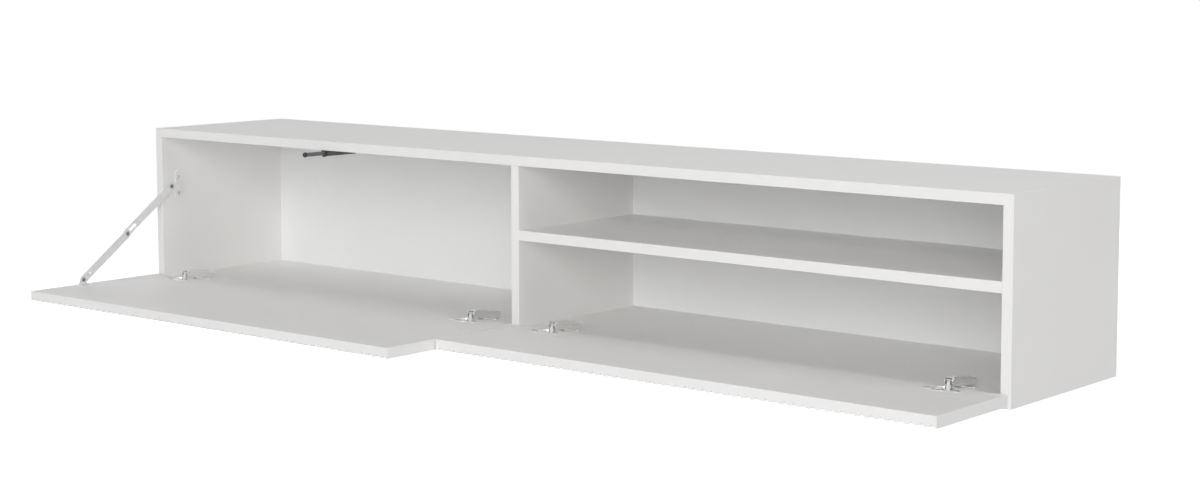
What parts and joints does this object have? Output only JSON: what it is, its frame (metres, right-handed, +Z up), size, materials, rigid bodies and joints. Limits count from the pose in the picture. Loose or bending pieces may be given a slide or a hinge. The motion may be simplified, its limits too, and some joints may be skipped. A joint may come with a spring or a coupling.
{
  "type": "wall-hung media console",
  "caption": "Wide low wall-hung console with reeded drop-down flaps on cup hinges, an open niche over a shelf, a folding lid stay and a push latch, shown open.",
  "frame": {"origin": "centre of the wall cleat's rear face, in the plane of the wall", "axes": "+X to the right along the console's length as seen from the room, +Y into the wall, +Z up"},
  "size_m": [2, 0.663, 0.326],
  "materials": {
    "lacquer": "satin white lacquer on board",
    "raw_board": "unfinished plywood",
    "nickel": "bright nickel plating",
    "stay_metal": "zinc plating",
    "steel": "zinc plated screws and links",
    "dark_plastic": "fine matte",
    "grey_plastic": "smooth satin",
    "soft_tip": "matte"
  },
  "bodies": {
    "carcass": {"top_panel": "lacquer", "bottom_panel": "lacquer", "left_side_panel": "lacquer", "right_side_panel": "lacquer", "centre_divider": "lacquer", "fixed_shelf": "lacquer", "back_panel": "lacquer", "carcass_cleat": "raw_board", "wall_cleat": "raw_board", "left_hinge_1_mounting_plate": "nickel", "left_hinge_1_arm": "nickel", "left_hinge_1_plate_screw_1": "steel", "left_hinge_1_plate_screw_2": "steel", "left_hinge_2_mounting_plate": "nickel", "left_hinge_2_arm": "nickel", "left_hinge_2_plate_screw_1": "steel", "left_hinge_2_plate_screw_2": "steel", "right_hinge_1_mounting_plate": "nickel", "right_hinge_1_arm": "nickel", "right_hinge_1_plate_screw_1": "steel", "right_hinge_1_plate_screw_2": "steel", "right_hinge_2_mounting_plate": "nickel", "right_hinge_2_arm": "nickel", "right_hinge_2_plate_screw_1": "steel", "right_hinge_2_plate_screw_2": "steel", "stay_side_bracket": "stay_metal", "stay_side_screw_1": "steel", "stay_side_screw_2": "steel", "latch_housing": "dark_plastic"},
    "left_flap": {"left_flap": "lacquer", "left_hinge_1_cup": "nickel", "left_hinge_1_cup_screw_1": "steel", "left_hinge_1_cup_screw_2": "steel", "left_hinge_2_cup": "nickel", "left_hinge_2_cup_screw_1": "steel", "left_hinge_2_cup_screw_2": "steel", "stay_flap_bracket": "stay_metal", "stay_flap_screw_1": "steel", "stay_flap_screw_2": "steel"},
    "right_flap": {"right_flap": "lacquer", "right_hinge_1_cup": "nickel", "right_hinge_1_cup_screw_1": "steel", "right_hinge_1_cup_screw_2": "steel", "right_hinge_2_cup": "nickel", "right_hinge_2_cup_screw_1": "steel", "right_hinge_2_cup_screw_2": "steel"},
    "left_inner_links": {"left_hinge_1_inner_link": "steel", "left_hinge_2_inner_link": "steel"},
    "left_outer_links": {"left_hinge_1_outer_link": "steel", "left_hinge_2_outer_link": "steel"},
    "right_inner_links": {"right_hinge_1_inner_link": "steel", "right_hinge_2_inner_link": "steel"},
    "right_outer_links": {"right_hinge_1_outer_link": "steel", "right_hinge_2_outer_link": "steel"},
    "stay_upper_arm": {"stay_upper_arm": "stay_metal"},
    "stay_lower_arm": {"stay_lower_arm": "stay_metal", "stay_rivet": "steel"},
    "latch_plunger": {"latch_plunger": "grey_plastic", "latch_tip": "soft_tip"}
  },
  "joints": [
    {"name": "left_flap_hinge", "type": "hinge", "parent": "carcass", "child": "left_flap", "pos_m": [-0.499, -0.357, -0.196], "axis": [-1, 0, 0], "range_deg": [0, 90]},
    {"name": "right_flap_hinge", "type": "hinge", "parent": "carcass", "child": "right_flap", "pos_m": [0.499, -0.357, -0.196], "axis": [-1, 0, 0], "range_deg": [0, 90]},
    {"name": "left_inner_link_pivot", "type": "hinge", "parent": "carcass", "child": "left_inner_links", "pos_m": [-0.499, -0.35471, -0.175], "axis": [-1, 0, 0], "range_deg": [-23.41, 0]},
    {"name": "left_outer_link_pivot", "type": "hinge", "parent": "carcass", "child": "left_outer_links", "pos_m": [-0.499, -0.35101, -0.17999], "axis": [-1, 0, 0], "range_deg": [-38.62, 0]},
    {"name": "right_inner_link_pivot", "type": "hinge", "parent": "carcass", "child": "right_inner_links", "pos_m": [0.499, -0.35471, -0.175], "axis": [-1, 0, 0], "range_deg": [-23.41, 0]},
    {"name": "right_outer_link_pivot", "type": "hinge", "parent": "carcass", "child": "right_outer_links", "pos_m": [0.499, -0.35101, -0.17999], "axis": [-1, 0, 0], "range_deg": [-38.62, 0]},
    {"name": "stay_upper_arm_pivot", "type": "hinge", "parent": "carcass", "child": "stay_upper_arm", "pos_m": [-0.97935, -0.322, -0.0055], "axis": [-1, 0, 0], "range_deg": [-67.19, 0]},
    {"name": "stay_lower_arm_pivot", "type": "hinge", "parent": "left_flap", "child": "stay_lower_arm", "pos_m": [-0.97555, -0.552, -0.174], "axis": [-1, 0, 0], "range_deg": [0, 18.01]},
    {"name": "latch_plunger_slide", "type": "slide", "parent": "carcass", "child": "latch_plunger", "axis": [0, 1, 0], "range_m": [0, 0.04501]}
  ],
  "couplings": [
    {"joint": "left_inner_link_pivot", "follows": "left_flap_hinge", "ratio": -0.26},
    {"joint": "left_outer_link_pivot", "follows": "left_flap_hinge", "ratio": -0.429},
    {"joint": "right_inner_link_pivot", "follows": "right_flap_hinge", "ratio": -0.26},
    {"joint": "right_outer_link_pivot", "follows": "right_flap_hinge", "ratio": -0.429},
    {"joint": "stay_upper_arm_pivot", "follows": "left_flap_hinge", "ratio": -0.7465},
    {"joint": "stay_lower_arm_pivot", "follows": "left_flap_hinge", "ratio": 0.2},
    {"joint": "latch_plunger_slide", "follows": "left_flap_hinge", "m_per_rad": 0.028648}
  ]
}
